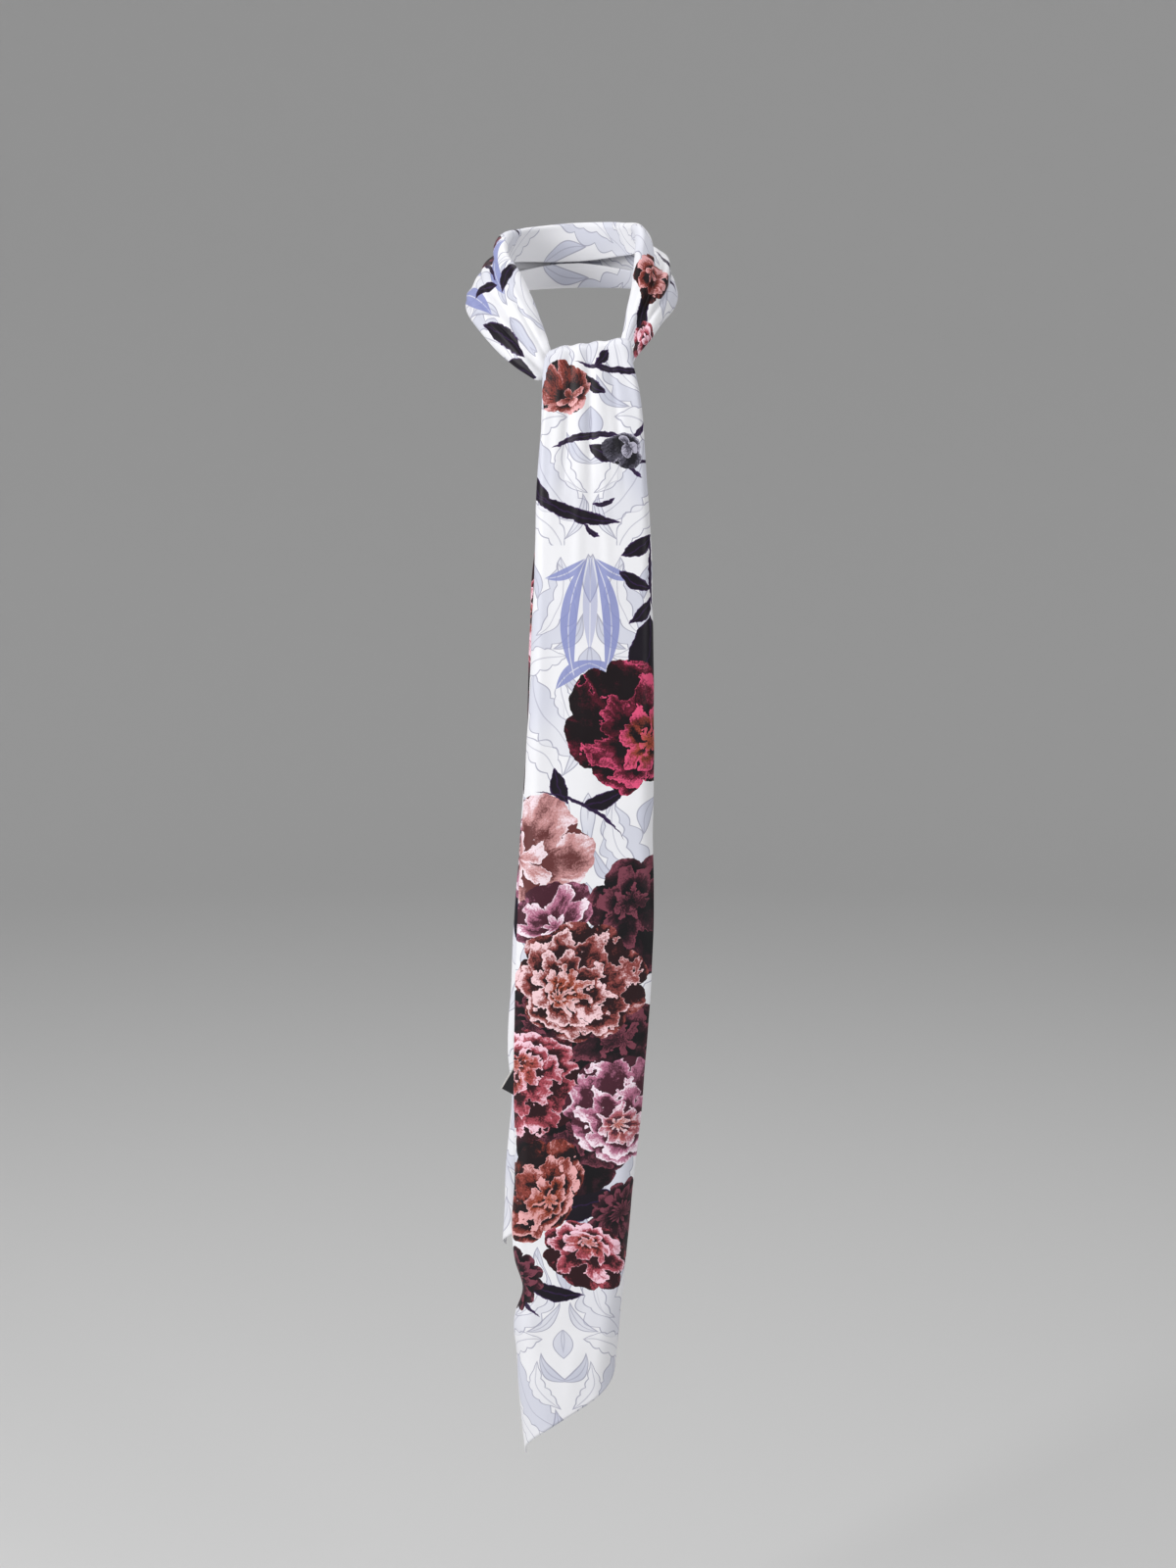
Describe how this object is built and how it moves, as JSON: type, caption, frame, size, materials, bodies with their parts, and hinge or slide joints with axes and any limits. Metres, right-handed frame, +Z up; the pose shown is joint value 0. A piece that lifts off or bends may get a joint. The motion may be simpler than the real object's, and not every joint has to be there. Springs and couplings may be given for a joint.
{
  "type": "stole",
  "caption": "Long narrow printed stole worn round a neck, knotted once at the front, with two hanging tails cut on the slant.",
  "frame": {"origin": "the inside of the neck band at the middle of the back, where it rests on the wearer's nape", "axes": "+Z up, -Y the wearer's front, where the knot and tails hang, +X the viewer's right when seen from the front"},
  "size_m": [0.1893, 0.2156, 1.1029],
  "materials": {
    "printed_twill": "cool white silky twill with a dark floral print and pale grey scrolls, soft sheen",
    "black_tape": "matt black woven tape, blank"
  },
  "bodies": {
    "root": {"neck_loop": "printed_twill", "crossing_wrap": "printed_twill", "front_tail": "printed_twill", "back_tail": "printed_twill", "label": "black_tape"}
  },
  "joints": []
}
